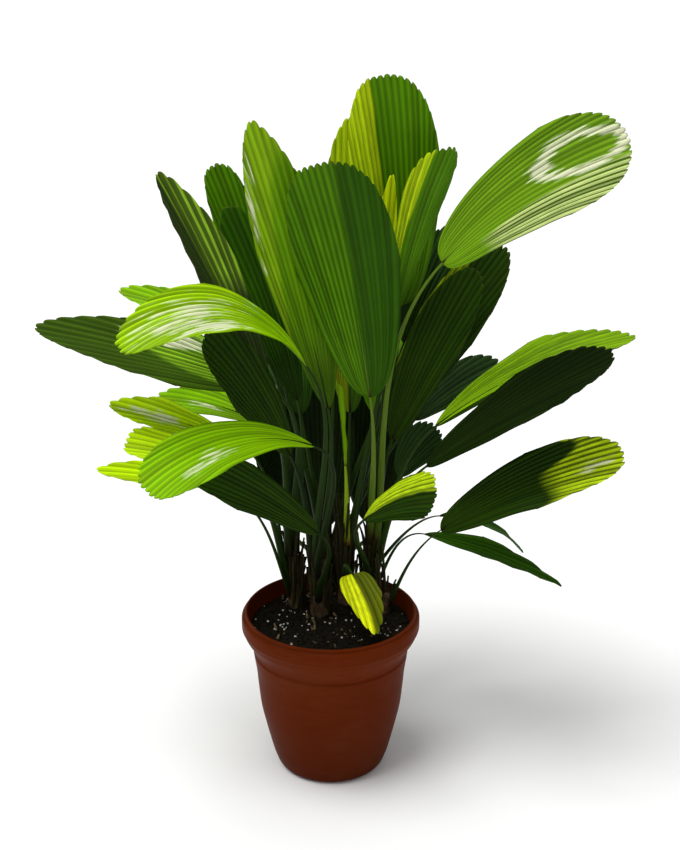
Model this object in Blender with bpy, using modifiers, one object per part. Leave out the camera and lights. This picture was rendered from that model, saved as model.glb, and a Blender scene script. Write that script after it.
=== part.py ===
"""Potted licuala palm: a clump of short stems in a bell-shaped pot, with pleated paddle leaves.

Blender 4.5, metres, +Z up. The origin is the middle of the pot's flat underside,
+X is the right of the palm and -Y its front.
"""

import math

import bpy
from mathutils import Matrix, Vector

MM = 0.001
CLEARANCE = 0.3 * MM  # between pieces that rest against each other

# Pot: outer radius and height of each place on the wall, from the lip down
POT_HEIGHT = 290 * MM
POT_WALL = 3 * MM
POT_STEPS = 40
LIP_RADIUS = 143.5 * MM  # outside of the upright wall behind the rolled rim
LIP_BEVEL = 2 * MM
RIM_RADIUS = 151.5 * MM
RIM_ROUND = 6 * MM  # radius of the roll, above and below
RIM_UPPER, RIM_LOWER = 278 * MM, 263 * MM  # heights between which the rim stands straight
COLLAR = ((147, 250), (139, 240), (134.5, 230), (132.5, 224))
GROOVE = ((130.5, 221), (130.5, 217), (132, 214))
BELL = ((130, 200), (127, 180), (124.5, 152), (120, 113), (111, 72), (101, 32), (94, 11))
FOOT_RADIUS, FOOT_ROUND = 80 * MM, 13 * MM
FLOOR_THICKNESS = 4 * MM

# Soil, a flat-topped plug inside the pot
SOIL_TOP = 265 * MM

# Stems: foot on the soil, lean, height and radius near the top
STEM_SIDES = 12
STEM_SHAPE = ((0, 1.5), (0.15, 1.36), (0.4, 1.18), (0.75, 1.03), (0.93, 0.9), (1, 0.55))
STEMS = {
    # name: (foot x, foot y, lean x, lean y, height, radius), in millimetres
    "left": (-60, 70, -6, 2, 100, 9.5),
    "front": (-20, 38, -4, -6, 115, 10),
    "middle": (26, 80, -2, 4, 125, 9.5),
    "right": (66, 92, 4, 2, 130, 10),
    "outer": (92, 42, 6, -3, 34, 7),
    "back": (-4, 122, -4, 8, 105, 9.5),
}

# Fronds
STALK_SIDES = 6
STALK_ROWS = 6
STALK_FOOT, STALK_TOP = 3.4 * MM, 2.6 * MM  # radius of the leaf stalk at each end
SLIM_STALKS = ("left_6", "left_8", "right_5", "right_6", "right_7")
SLIMNESS = 0.55  # radius of a slim stalk over that of the others
STALK_JOIN = 0.985  # part of its length where a stalk gives way to its blade
STALK_RISE = 2  # a stalk heads this many parts for its blade to one part straight up
BLADE_THICKNESS = 5 * MM
NARROWEST = 0.07  # width of the blade's foot over its full width
BLADE_HALF_COLUMNS = 3
BLADE_ROWS = (0, 0.08, 0.2, 0.36, 0.54, 0.76, 1)
BLADE_SHAPES = {
    # name: (part of its length where the blade is widest, squareness of its end, swell of its sides)
    "paddle": (0.55, 2.6, 0.42),
    "spoon": (0.68, 2.4, 0.38),
    "oar": (0.56, 2.2, 0.5),
    "pointed": (0.55, 1.65, 0.55),
    "blunt": (0.68, 2.8, 0.55),
    "long": (0.36, 1.75, 0.42),
    "strap": (0.4, 1.3, 0.6),
    "torn": (0.25, 1.6, 0.15),
    "rolled": (0.85, 1.5, 0.3),
}
SPLIT_BEND = 45  # degrees between stalk and blade past which they are two pieces

FRONDS = (
    # name, stem, foot height, blade base, blade tip, arch, blade width, roll, fold, shape
    ("crown_1", "right", 118, (65, 10, 671), (-14, -60, 1073), 8, 168, 45, 6, "paddle"),
    ("crown_2", "middle", 116, (115, 100, 800), (84, 135, 1174), 8, 149, -35, 8, "paddle"),
    ("crown_3", "middle", 95, (33, 165, 586), (50, 200, 1098), 6, 115, 5, 8, "paddle"),
    ("crown_4", "middle", 98, (107, 50, 803), (187, 40, 1087), 8, 87, -50, 8, "blunt"),
    ("crown_5", "right", 121, (91, 72, 798), (99, 76, 1028), 4, 32, 60, 8, "pointed"),
    ("crown_6", "front", 106, (-4, 35, 643), (-121, 0, 1127), 6, 122, 60, 8, "pointed"),
    ("crown_7", "back", 92, (-81, 145, 652), (-192, 165, 1021), 8, 75, -60, 8, "blunt"),
    ("crown_8", "left", 92, (-56, 88, 637), (-167, 85, 972), 8, 83, -80, 8, "oar"),
    ("crown_9", "left", 94, (-101, 30, 659), (-270, 10, 1045), 6, 89, -45, 12, "pointed"),
    ("crown_10", "back", 75, (126, 190, 704), (213, 250, 893), 6, 80, 45, 8, "oar"),
    ("crown_11", "right", 100, (93, 125, 568), (294, 190, 877), 8, 108, 55, 8, "oar"),
    ("crown_12", "right", 105, (105, 104, 560), (243, 130, 854), 8, 94, 60, 8, "oar"),
    ("left_1", "front", 105, (-39, -40, 744), (-314, -190, 817), 70, 123, -20, 10, "oar"),
    ("left_2", "left", 60, (-113, 66, 670), (-489, 90, 765), 8, 117, -35, 8, "long"),
    ("left_3", "left", 50, (-162, 180, 728), (-372, 260, 779), 6, 64, -25, 8, "pointed"),
    ("left_4", "left", 72, (-123, 100, 595), (-307, 230, 592), 10, 72, -25, 8, "pointed"),
    ("left_5", "front", 75, (-27, -95, 628), (-270, -285, 626), 42, 110, -20, 8, "blunt"),
    ("left_6", "left", 30, (-174, 92, 567), (-378, 118, 619), 4, 73, -25, 8, "pointed"),
    ("left_7", "left", 36, (-180, 20, 551), (-344, 44, 579), 3, 73, -25, 8, "blunt"),
    ("left_8", "left", 14, (-190, -6, 519), (-383, -34, 561), 5, 52, -25, 8, "pointed"),
    ("left_9", "front", 28, (-20, -45, 453), (-247, -120, 619), 10, 80, -60, 8, "oar"),
    ("left_10", "front", 105, (-66, 0, 573), (-199, -50, 796), 8, 103, -55, 8, "oar"),
    ("right_1", "right", 78, (178, 5, 899), (452, -70, 1105), 22, 156, 60, 8, "spoon"),
    ("right_2", "right", 52, (177, 70, 597), (505, 75, 753), 24, 125, 10, 8, "pointed"),
    ("right_3", "right", 34, (160, 10, 550), (447, -70, 771), 9, 114, 30, 8, "oar"),
    ("right_4", "back", 45, (148, 200, 558), (303, 300, 631), 12, 70, 40, 8, "oar"),
    ("right_5", "outer", 12, (185, 0, 438), (474, -60, 598), 15, 108, 40, 8, "paddle"),
    ("right_6", "right", 12, (161, 50, 407), (402, 40, 310), 12, 54, 15, 12, "strap"),
    ("right_7", "right", 55, (191, 130, 405), (351, 200, 298), 20, 50, 10, 12, "strap"),
    ("right_8", "right", 75, (118, 132, 479), (188, 160, 559), 8, 75, 35, 8, "oar"),
    ("front_1", "right", 45, (56, -10, 461), (173, -90, 545), 10, 91, 60, -25, "blunt"),
    ("front_2", "middle", 40, (36, -40, 376), (75, -120, 303), 10, 67, 10, -14, "torn"),
    ("back_1", "back", 88, (4, 200, 640), (0, 390, 741), 20, 120, 0, 8, "oar"),
    ("back_2", "right", 90, (78, 205, 569), (126, 390, 665), 20, 110, 0, 8, "oar"),
    ("back_3", "back", 70, (-53, 200, 569), (-111, 380, 690), 20, 110, 0, 8, "oar"),
    ("back_4", "back", 50, (-17, 226, 336), (-23, 262, 610), 10, 124, 0, 8, "paddle"),
    ("back_5", "back", 36, (75, 262, 328), (110, 298, 601), 10, 148, 10, 8, "paddle"),
    ("back_6", "back", 36, (-72, 262, 328), (-114, 298, 568), 10, 141, -10, 8, "paddle"),
    ("spear", "middle", 112, (25, 82, 520), (13, 70, 677), 0, 16, 0, 0, "rolled"),
)

LEAF_GREEN = (0.13, 0.30, 0.02)
STALK_GREEN = (0.24, 0.32, 0.09)
STEM_BROWN = (0.09, 0.06, 0.03)
SOIL_BROWN = (0.035, 0.022, 0.015)
TERRACOTTA = (0.32, 0.10, 0.035)


def clear_scene():
    for item in list(bpy.data.objects):
        bpy.data.objects.remove(item)


def material(name, colour, roughness):
    made = bpy.data.materials.new(name)
    made.use_nodes = True
    shader = made.node_tree.nodes["Principled BSDF"]
    shader.inputs["Base Color"].default_value = (*colour, 1)
    shader.inputs["Roughness"].default_value = roughness
    shader.inputs["Metallic"].default_value = 0
    made.diffuse_color = (*colour, 1)
    return made


def add_object(name, verts, faces, look, home):
    mesh = bpy.data.meshes.new(name)
    mesh.from_pydata([tuple(v) for v in verts], [], faces)
    mesh.validate()
    mesh.materials.append(look)
    made = bpy.data.objects.new(name, mesh)
    home.objects.link(made)
    return made


def turned(name, profile, look, home):
    """A solid of revolution from (radius, height) points that run down its outer side."""
    verts = [(radius, 0, height) for radius, height in profile]
    made = add_object(name, verts, [], look, home)
    mesh = made.data
    mesh.edges.add(len(verts) - 1)
    for index, edge in enumerate(mesh.edges):
        edge.vertices = (index, index + 1)
    mesh.update()
    screw = made.modifiers.new("Turn", "SCREW")
    screw.axis = "Z"
    screw.angle = math.tau
    screw.steps = POT_STEPS
    screw.render_steps = POT_STEPS
    screw.use_merge_vertices = True
    screw.merge_threshold = 0.00005
    screw.use_smooth_shade = True
    return made


def arc(centre_radius, centre_height, radius, start, end, steps):
    """(radius, height) points on an arc, with its angles measured from straight outward."""
    points = []
    for step in range(steps + 1):
        angle = math.radians(start + (end - start) * step / steps)
        points.append(
            (centre_radius + radius * math.cos(angle), centre_height + radius * math.sin(angle))
        )
    return points


def pot_outside():
    """The pot's outer side from the lip down to the flat underside."""
    rim = arc(RIM_RADIUS - RIM_ROUND, RIM_UPPER, RIM_ROUND, 80, 0, 3)
    rim += arc(RIM_RADIUS - RIM_ROUND, RIM_LOWER, RIM_ROUND, 0, -50, 2)
    wall = [(radius * MM, height * MM) for radius, height in COLLAR + GROOVE + BELL]
    foot = arc(FOOT_RADIUS, FOOT_ROUND, FOOT_ROUND, -25, -90, 2)
    return rim + wall + foot


def inner_radius(height):
    """Radius of the pot's inside at a height, a wall's thickness in from the bell."""
    places = [(LIP_RADIUS, POT_HEIGHT)]
    places += [(radius * MM, level * MM) for radius, level in BELL]
    places += [(FOOT_RADIUS, 0)]
    for (upper, high), (lower, low) in zip(places, places[1:]):
        if low <= height <= high:
            return lower + (upper - lower) * (height - low) / (high - low) - POT_WALL
    raise ValueError(f"no wall at {height}")


def inside_wall(low, high, inset=0):
    """The pot's inner side from one height up to another, the same bends for pot and soil."""
    bends = [level * MM for _, level in reversed(BELL) if low < level * MM < high]
    return [(inner_radius(height) - inset, height) for height in [low] + bends + [high]]


def make_pot(look, home):
    lip = [(LIP_RADIUS - POT_WALL, RIM_UPPER), (LIP_RADIUS - LIP_BEVEL, POT_HEIGHT - LIP_BEVEL)]
    lip.append((LIP_RADIUS + LIP_BEVEL, POT_HEIGHT))
    inside = inside_wall(FLOOR_THICKNESS, SOIL_TOP)
    profile = [(0, FLOOR_THICKNESS)] + inside + lip + pot_outside() + [(0, 0)]
    return turned("pot", profile, look, home)


def make_soil(look, home):
    low = FLOOR_THICKNESS + CLEARANCE
    side = inside_wall(low, SOIL_TOP, CLEARANCE)[::-1]
    return turned("soil", [(0, SOIL_TOP)] + side + [(0, low)], look, home)


def ring(centre, across, upward, half_width, half_height, sides):
    """Points round an oval, turning from `across` to `upward`."""
    points = []
    for side in range(sides):
        angle = math.tau * side / sides
        points.append(
            centre
            + across * (half_width * math.cos(angle))
            + upward * (half_height * math.sin(angle))
        )
    return points


def skin(rings):
    """Faces of a closed loft over rings, whose counts may differ from one to the next."""
    faces, start = [], 0
    faces.append(tuple(reversed(range(len(rings[0])))))
    for lower, upper in zip(rings, rings[1:]):
        n, m, above = len(lower), len(upper), start + len(lower)
        if n == m:
            for side in range(n):
                step = (side + 1) % n
                faces.append((start + side, start + step, above + step, above + side))
        else:
            faces += stitch(start, n, above, m)
        start = above
    last = start + len(rings[-1]) - 1
    for side in range(len(rings[-1]) // 2 - 1):
        faces.append((start + side, start + side + 1, last - side - 1, last - side))
    return faces


def stitch(start, n, above, m):
    """Triangles between a ring of n points and one of m points that begin side by side."""
    faces, low, high = [], 0, 0
    while low < n or high < m:
        if high * n <= low * m and high < m or low == n:
            faces.append((start + low % n, above + (high + 1) % m, above + high % m))
            high += 1
        else:
            faces.append((start + low % n, start + (low + 1) % n, above + high % m))
            low += 1
    return faces


def loft(name, rings, look, home):
    verts = [point for circle in rings for point in circle]
    return add_object(name, verts, skin(rings), look, home)


def stem_axis(stem, height):
    """Middle of a stem at a height above the soil."""
    x, y, lean_x, lean_y, tall, _ = (value * MM for value in STEMS[stem])
    part = height / tall
    return Vector((x + lean_x * part, y + lean_y * part, SOIL_TOP + height))


def stem_radius(stem, height):
    """Radius of a stem at a height above the soil, straight between its rings."""
    part = min(max(height / (STEMS[stem][4] * MM), 0), 1)
    for (low, wide), (high, narrow) in zip(STEM_SHAPE, STEM_SHAPE[1:]):
        if part <= high:
            ratio = wide + (narrow - wide) * (part - low) / (high - low)
            return STEMS[stem][5] * MM * ratio
    raise ValueError(f"no stem at {height}")


def clear_of_stem(stem, point):
    """How far a point lies outside the stem's flat facets."""
    height = point.z - SOIL_TOP
    out = point - stem_axis(stem, height)
    facet = math.tau / STEM_SIDES
    turn = math.atan2(out.y, out.x) % facet - facet / 2
    side = stem_radius(stem, height) * math.cos(facet / 2) / math.cos(turn)
    return math.hypot(out.x, out.y) - side


def make_stem(stem, look, home):
    """A short stem that flares to a flat foot on the soil and rounds in at its top."""
    rings = []
    for part, ratio in STEM_SHAPE:
        centre = stem_axis(stem, STEMS[stem][4] * MM * part) + Vector((0, 0, CLEARANCE))
        radius = STEMS[stem][5] * MM * ratio
        rings.append(ring(centre, Vector((1, 0, 0)), Vector((0, 1, 0)), radius, radius, STEM_SIDES))
    return loft("stem_" + stem, rings, look, home)


def bend(points, part):
    """Point and direction on the Bezier curve with these control points."""
    rows = [list(points)]
    while len(rows[-1]) > 1:
        last = rows[-1]
        rows.append([a.lerp(b, part) for a, b in zip(last, last[1:])])
    return rows[-1][0], (rows[-2][1] - rows[-2][0]).normalized()


def upward_from(direction):
    """Square to a direction, and as near to straight up as that allows."""
    up = Vector((0, 0, 1))
    return (up - direction * up.dot(direction)).normalized()


def side_of(direction, roll):
    """The way across a blade that runs in this direction: level, then rolled about it."""
    level = Vector((0, 0, 1)).cross(direction).normalized()
    return Matrix.Rotation(math.radians(roll), 3, direction) @ level


class Frond:
    """Where one leaf's stalk and blade run, from a row of FRONDS."""

    def __init__(self, name, stem, foot_height, base, tip, arch, width, roll, fold, shape):
        self.name = "frond_" + name
        self.base, self.tip = Vector(base) * MM, Vector(tip) * MM
        self.width, self.fold = width * MM, math.radians(fold)
        self.widest, self.squareness, self.swell = BLADE_SHAPES[shape]
        slimness = SLIMNESS if name in SLIM_STALKS else 1
        self.stalk_foot, self.stalk_top = STALK_FOOT * slimness, STALK_TOP * slimness
        heading = (self.tip - self.base).normalized()
        self.across = side_of(heading, roll)
        middle = self.base.lerp(self.tip, 0.5) + upward_from(heading) * (2 * arch * MM)
        self.blade_curve = (self.base, middle, self.tip)
        into_blade = (middle - self.base).normalized()

        foot_height *= MM
        axis = stem_axis(stem, foot_height)
        out = self.base - axis
        out.z = 0
        out.normalize()
        self.foot = axis + out * (stem_radius(stem, foot_height) + self.stalk_foot)
        rise = self.base - self.foot
        self.bent = rise.angle(into_blade) > math.radians(SPLIT_BEND)
        start = (rise.normalized() * STALK_RISE + Vector((0, 0, 1))).normalized()
        finish = into_blade
        end = self.base
        if self.bent:
            finish = (into_blade + rise.normalized() * STALK_RISE).normalized()
            end = end + finish * (self.backmost(finish) - CLEARANCE)
        third = rise.length / 3
        self.stalk_curve = [self.foot, self.foot + start * third, end - finish * third, end]
        corners = self.stalk_rings()[0]
        middles = [a.lerp(b, 0.5) for a, b in zip(corners, corners[1:] + corners[:1])]
        nearest = min(clear_of_stem(stem, point) for point in corners + middles)
        seat = out * (CLEARANCE - nearest)
        self.stalk_curve[0] += seat
        self.stalk_curve[1] += seat

    def backmost(self, along):
        """How far back the blade's foot reaches where it stands over the stalk's end."""
        covered = min(1, self.stalk_top / (self.width / 2 * NARROWEST))
        depths = []
        for u in (-covered, 0, covered):
            point, normal = self.blade_point(u, 0)
            for side in (-1, 1):
                depths.append((point + normal * (side * BLADE_THICKNESS / 2) - self.base).dot(along))
        return min(depths)

    def stalk_rings(self, end=1):
        rings = []
        for row in range(STALK_ROWS + 1):
            part = end * row / STALK_ROWS
            centre, along = bend(self.stalk_curve, part)
            across = (self.across - along * self.across.dot(along)).normalized()
            radius = self.stalk_foot + (self.stalk_top - self.stalk_foot) * part
            rings.append(ring(centre, across, along.cross(across), radius, radius, STALK_SIDES))
        return rings

    def blade_point(self, u, part):
        """Middle of the blade's thickness at u across, from -1 to 1, and its normal."""
        rounded = (1 - abs(u) ** self.squareness) ** (1 / self.squareness)
        along_part = part * (self.widest + (1 - self.widest) * rounded)
        centre, along = bend(self.blade_curve, along_part)
        across = (self.across - along * self.across.dot(along)).normalized()
        normal = along.cross(across)
        half = self.width / 2 * max(part**self.swell, NARROWEST)
        side = across * math.cos(self.fold) + normal * math.copysign(math.sin(self.fold), u)
        return centre + side * (half * u), normal

    def blade_rings(self):
        columns = [
            math.sin(math.pi / 2 * step / BLADE_HALF_COLUMNS)
            for step in range(BLADE_HALF_COLUMNS, -BLADE_HALF_COLUMNS - 1, -1)
        ]
        rings = []
        for part in BLADE_ROWS:
            front, back = [], []
            for u in columns:
                point, normal = self.blade_point(u, part)
                front.append(point + normal * BLADE_THICKNESS / 2)
                back.append(point - normal * BLADE_THICKNESS / 2)
            rings.append(front + back[::-1])
        return rings


def make_frond(row, looks, home):
    frond = Frond(*row)
    if frond.bent:
        loft(frond.name + "_stalk", frond.stalk_rings(), looks["stalk"], home)
        loft(frond.name, frond.blade_rings(), looks["leaf"], home)
    else:
        loft(frond.name, frond.stalk_rings(STALK_JOIN) + frond.blade_rings(), looks["leaf"], home)


def build():
    clear_scene()
    home = bpy.data.collections.new("licuala_palm")
    bpy.context.scene.collection.children.link(home)
    looks = {
        "pot": material("pot_plastic", TERRACOTTA, 0.5),
        "soil": material("potting_soil", SOIL_BROWN, 0.95),
        "stem": material("fibrous_stem", STEM_BROWN, 0.85),
        "stalk": material("leaf_stalk", STALK_GREEN, 0.5),
        "leaf": material("leaf_blade", LEAF_GREEN, 0.4),
    }
    make_pot(looks["pot"], home)
    make_soil(looks["soil"], home)
    for stem in STEMS:
        make_stem(stem, looks["stem"], home)
    for row in FRONDS:
        make_frond(row, looks, home)


build()
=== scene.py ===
"""Looks of the potted licuala palm: pleated blades, fibrous stems, gritty soil and a plastic pot."""

import math

import bmesh
import bpy
from mathutils import Matrix, Vector, noise


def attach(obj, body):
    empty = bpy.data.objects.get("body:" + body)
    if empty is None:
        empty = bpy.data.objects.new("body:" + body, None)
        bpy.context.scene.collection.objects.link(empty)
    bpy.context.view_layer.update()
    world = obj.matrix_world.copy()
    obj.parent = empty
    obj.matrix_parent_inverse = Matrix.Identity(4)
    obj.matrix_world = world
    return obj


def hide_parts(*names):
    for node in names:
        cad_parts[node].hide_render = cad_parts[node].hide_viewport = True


MM = 0.001
BODY = "root"
SOIL_TOP = 265 * MM

# Stems, as in the solids: foot, lean, height and radius in millimetres
STEMS = {
    "left": (-60, 70, -6, 2, 100, 9.5),
    "front": (-20, 38, -4, -6, 115, 10),
    "middle": (26, 80, -2, 4, 125, 9.5),
    "right": (66, 92, 4, 2, 130, 10),
    "outer": (92, 42, 6, -3, 34, 7),
    "back": (-4, 122, -4, 8, 105, 9.5),
}

# Leaf stalks
STALK_FOOT, STALK_TOP = 3.0 * MM, 1.9 * MM
SLIM_STALKS = ("left_6", "left_8", "right_5", "right_6", "right_7")
SLIMNESS = 0.55  # radius of a slim stalk over that of the others
STALK_RISE = 2  # a stalk heads this many parts for its blade to one part straight up
SHEATH_PART, SHEATH_SWELL = 0.38, 1.4  # the foot of a stalk widens into its sheath
COSTA_PART = 0.34  # of the blade's length that its midrib reaches
COSTA_TAPER = 0.85

# Blades
BLADE_THICKNESS = 0.7 * MM
PLEAT_WIDTH = 8.2 * MM
PLEAT_STEPS = 6  # columns of faces to a pleat
PLEAT_DEPTH = 0.36  # height of a fold over the width of a pleat
ROW_LENGTH = 5.5 * MM
NARROWEST = 0.07  # width at the foot of a blade over its full width
BLADE_SHAPES = {
    # part of its length where the blade is widest, squareness of its end, swell of its sides
    "paddle": (0.55, 2.6, 0.42),
    "spoon": (0.68, 2.4, 0.38),
    "oar": (0.56, 2.2, 0.5),
    "pointed": (0.55, 1.65, 0.55),
    "blunt": (0.68, 2.8, 0.55),
    "long": (0.36, 1.75, 0.42),
    "strap": (0.4, 1.3, 0.6),
    "torn": (0.25, 1.6, 0.15),
    "rolled": (0.85, 1.5, 0.3),
}
TOOTH = 5.0 * MM  # how far the valleys end short of the ridges
RAGGED = 3.0 * MM  # how unevenly the pleats end
END_ONLY = 40  # the power that keeps both of these to the end of a blade
CROWDING = 0.55  # how much narrower the pleats are towards the margins
CREASE = 0.08  # how far a plain blade bends up from its midrib
WAVE = 5 * MM
WAVE_PACE = (0.9, 2.6, 1.7)  # across a blade, along it and from frond to frond
RIPPLES, RIPPLE_DEPTH = 17, 0.25  # along the margins
WELD = 0.002 * MM  # points closer than this are one
STALK_POINTS, COSTA_POINTS = 26, 24

# Light and shade that a blade carries
SUN_EDGE = 9.0  # how sharp the border of a sunlit patch is
CREASE_EDGE = 22.0
SHADE_EDGE = 2.5  # how sharply the shade inside the clump ends along a blade
GLARE_BAND = 0.45  # how far a glare reaches either side of its ring
SUN_STRAY, START_STRAY, GLARE_STRAY = 0.25, 0.15, 0.8  # how far their borders stray
SUN_STEP = 0.05  # from the ridges to the valleys
SUN_INPUTS = ("Sun Across", "Sun Along", "Sun From", "Sun Start")
GLARE_INPUTS = ("Glare Across", "Glare Along", "Glare Width", "Glare Length", "Glare Ring")
NO_SUN = (0.0, 0.0, 1.0, 0.0)
NO_GLARE = (0.0, 0.0, 1.0, 1.0, 9.0)

# What else can set a frond apart:
# keel: where across the blade its crease runs, from -1 to 1
# crease: how far the blade bends up from there
# slant: how much sooner one side ends than the other
# furl: how far it is rolled, in radians
# sun: lit where across * u + along * v is more than from, past this part of its length
# glare: middle across and along, half width and half length, and radius of its ring
# shade: part of its length over which the shade inside the clump fades
# stalk: look of its stalk
FRONDS = (
    # name, stem, foot height, blade base, blade tip, arch, width, roll, fold, shape, look,
    # and what else sets it apart
    ("crown_1", "right", 118, (65, 10, 671), (-14, -60, 1073), 8, 168, 45, 6, "paddle", "mid",
     {"keel": 0.22, "crease": 0.16, "sun": (-1.0, 0.4, 0.1, -1.0), "stalk": "pale"}),
    ("crown_2", "middle", 116, (115, 100, 800), (84, 135, 1174), 8, 149, -35, 8, "paddle", "fresh",
     {"keel": 0.3, "crease": 0.2, "sun": (1.8, 0.0, 0.55, -1.0), "shade": 0.4}),
    ("crown_3", "middle", 95, (33, 165, 586), (50, 200, 1098), 6, 115, 5, 8, "paddle", "fresh",
     {"sun": (1.0, 0.0, 0.2, -1.0), "shade": 0.75}),
    ("crown_4", "middle", 98, (107, 50, 803), (187, 40, 1087), 8, 87, -50, 8, "blunt", "fresh",
     {"slant": -0.25, "sun": (-1.0, 0.6, 0.9, -1.0), "shade": 0.35}),
    ("crown_5", "right", 121, (91, 72, 798), (99, 76, 1028), 4, 32, 60, 8, "pointed", "lemon",
     {"sun": (0.0, 0.0, -1.0, -1.0), "shade": 0.3}),
    ("crown_6", "front", 106, (-4, 35, 643), (-121, 0, 1127), 6, 122, 60, 8, "pointed", "grass",
     {"keel": 0.2, "sun": (-0.6, 1.6, 1.2, -1.0), "glare": (-0.8, 0.9, 1.0, 0.42, 0.0), "shade": 0.5}),
    ("crown_7", "back", 92, (-81, 145, 652), (-192, 165, 1021), 8, 75, -60, 8, "blunt", "fresh",
     {"shade": 0.6}),
    ("crown_8", "left", 92, (-56, 88, 637), (-167, 85, 972), 8, 83, -80, 8, "oar", "mid",
     {"keel": 0.2, "shade": 0.6}),
    ("crown_9", "left", 94, (-101, 30, 659), (-270, 10, 1045), 6, 89, -45, 12, "pointed", "olive",
     {"keel": 0.1, "crease": 0.3, "sun": (-1.2, 0.3, 0.1, 0.42)}),
    ("crown_10", "back", 75, (126, 190, 704), (213, 250, 893), 6, 80, 45, 8, "oar", "teal", {}),
    ("crown_11", "right", 100, (93, 125, 568), (294, 190, 877), 8, 108, 55, 8, "oar", "deep",
     {"sun": (1.4, 1.6, 2.2, -1.0)}),
    ("crown_12", "right", 105, (105, 104, 560), (243, 130, 854), 8, 94, 60, 8, "oar", "deep", {}),
    ("left_1", "front", 105, (-39, -40, 744), (-314, -190, 817), 70, 123, -20, 10, "oar", "bright",
     {"keel": 0.3, "sun": (0.0, 1.0, 0.0, 0.3), "glare": (0.0, 0.64, 2.8, 1.0, 0.0)}),
    ("left_2", "left", 60, (-113, 66, 670), (-489, 90, 765), 8, 117, -35, 8, "long", "striped",
     {"sun": (-0.5, -1.6, -0.85, -1.0), "glare": (-0.7, 0.55, 0.9, 0.7, 0.0)}),
    ("left_3", "left", 50, (-162, 180, 728), (-372, 260, 779), 6, 64, -25, 8, "pointed", "bright", {}),
    ("left_4", "left", 72, (-123, 100, 595), (-307, 230, 592), 10, 72, -25, 8, "pointed", "bright",
     {"glare": (0.3, 0.5, 0.8, 0.6, 0.0)}),
    ("left_5", "front", 75, (-27, -95, 628), (-270, -285, 626), 42, 110, -20, 8, "blunt", "bright",
     {"keel": 0.2, "glare": (0.4, 0.75, 1.1, 0.6, 0.0), "stalk": "black"}),
    ("left_6", "left", 30, (-174, 92, 567), (-378, 118, 619), 4, 73, -25, 8, "pointed", "lemon",
     {"glare": (0.0, 0.6, 1.6, 0.9, 0.0)}),
    ("left_7", "left", 36, (-180, 20, 551), (-344, 44, 579), 3, 73, -25, 8, "blunt", "lemon", {}),
    ("left_8", "left", 14, (-190, -6, 519), (-383, -34, 561), 5, 52, -25, 8, "pointed", "lemon", {}),
    ("left_9", "front", 28, (-20, -45, 453), (-247, -120, 619), 10, 80, -60, 8, "oar", "deep",
     {"stalk": "black"}),
    ("left_10", "front", 105, (-66, 0, 573), (-199, -50, 796), 8, 103, -55, 8, "oar", "deep",
     {"stalk": "black"}),
    ("right_1", "right", 78, (178, 5, 899), (452, -70, 1105), 22, 156, 60, 8, "spoon", "glossy",
     {"keel": 0.35, "crease": 0.12, "sun": (-1.8, 0.7, 1.0, 0.2), "glare": (0.25, 0.79, 0.4, 0.19, 1.0),
      "stalk": "pale"}),
    ("right_2", "right", 52, (177, 70, 597), (505, 75, 753), 24, 125, 10, 8, "pointed", "edge",
     {"sun": (2.0, 0.0, -1.0, -1.0)}),
    ("right_3", "right", 34, (160, 10, 550), (447, -70, 771), 9, 114, 30, 8, "oar", "black", {}),
    ("right_4", "back", 45, (148, 200, 558), (303, 300, 631), 12, 70, 40, 8, "oar", "teal", {}),
    ("right_5", "outer", 12, (185, 0, 438), (474, -60, 598), 15, 108, 40, 8, "paddle", "deep",
     {"sun": (-1.45, 2.9, 1.4, 0.6), "glare": (-0.2, 0.8, 1.0, 0.35, 0.0)}),
    ("right_6", "right", 12, (161, 50, 407), (402, 40, 310), 12, 54, 15, 12, "strap", "mid", {}),
    ("right_7", "right", 55, (191, 130, 405), (351, 200, 298), 20, 50, 10, 12, "strap", "mid", {}),
    ("right_8", "right", 75, (118, 132, 479), (188, 160, 559), 8, 75, 35, 8, "oar", "teal", {}),
    ("front_1", "right", 45, (56, -10, 461), (173, -90, 545), 10, 91, 60, -25, "blunt", "deep",
     {"crease": 0.35, "sun": (1.6, 0.0, 0.1, -1.0)}),
    ("front_2", "middle", 40, (36, -40, 376), (75, -120, 303), 10, 67, 10, -14, "torn", "torn",
     {"keel": 0.3, "crease": 0.3, "sun": (-2.0, 0.0, -0.1, -1.0)}),
    ("back_1", "back", 88, (4, 200, 640), (0, 390, 741), 20, 120, 0, 8, "oar", "fresh", {}),
    ("back_2", "right", 90, (78, 205, 569), (126, 390, 665), 20, 110, 0, 8, "oar", "fresh", {}),
    ("back_3", "back", 70, (-53, 200, 569), (-111, 380, 690), 20, 110, 0, 8, "oar", "mid",
     {"shade": 0.6}),
    ("back_4", "back", 50, (-17, 226, 336), (-23, 262, 610), 10, 124, 0, 8, "paddle", "black", {}),
    ("back_5", "back", 36, (75, 262, 328), (110, 298, 601), 10, 148, 10, 8, "paddle", "black", {}),
    ("back_6", "back", 36, (-72, 262, 328), (-114, 298, 568), 10, 141, -10, 8, "paddle", "black", {}),
    ("spear", "middle", 112, (25, 82, 520), (13, 70, 677), 0, 16, 0, 0, "rolled", "bright",
     {"furl": 2.6, "stalk": "lemon"}),
)

# Stalks, linear: the old sheath at the foot and the green above it. Black is the stalk darkened by
# painted shade, pale the stalk lightened by painted light
STALK_LOOKS = {
    "dark": ((0.024, 0.015, 0.006), (0.020, 0.046, 0.005)),
    "black": ((0.012, 0.009, 0.004), (0.011, 0.024, 0.003)),
    "pale": ((0.060, 0.035, 0.010), (0.110, 0.190, 0.015)),
    "lemon": ((0.200, 0.085, 0.015), (0.300, 0.440, 0.010)),
}
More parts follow.
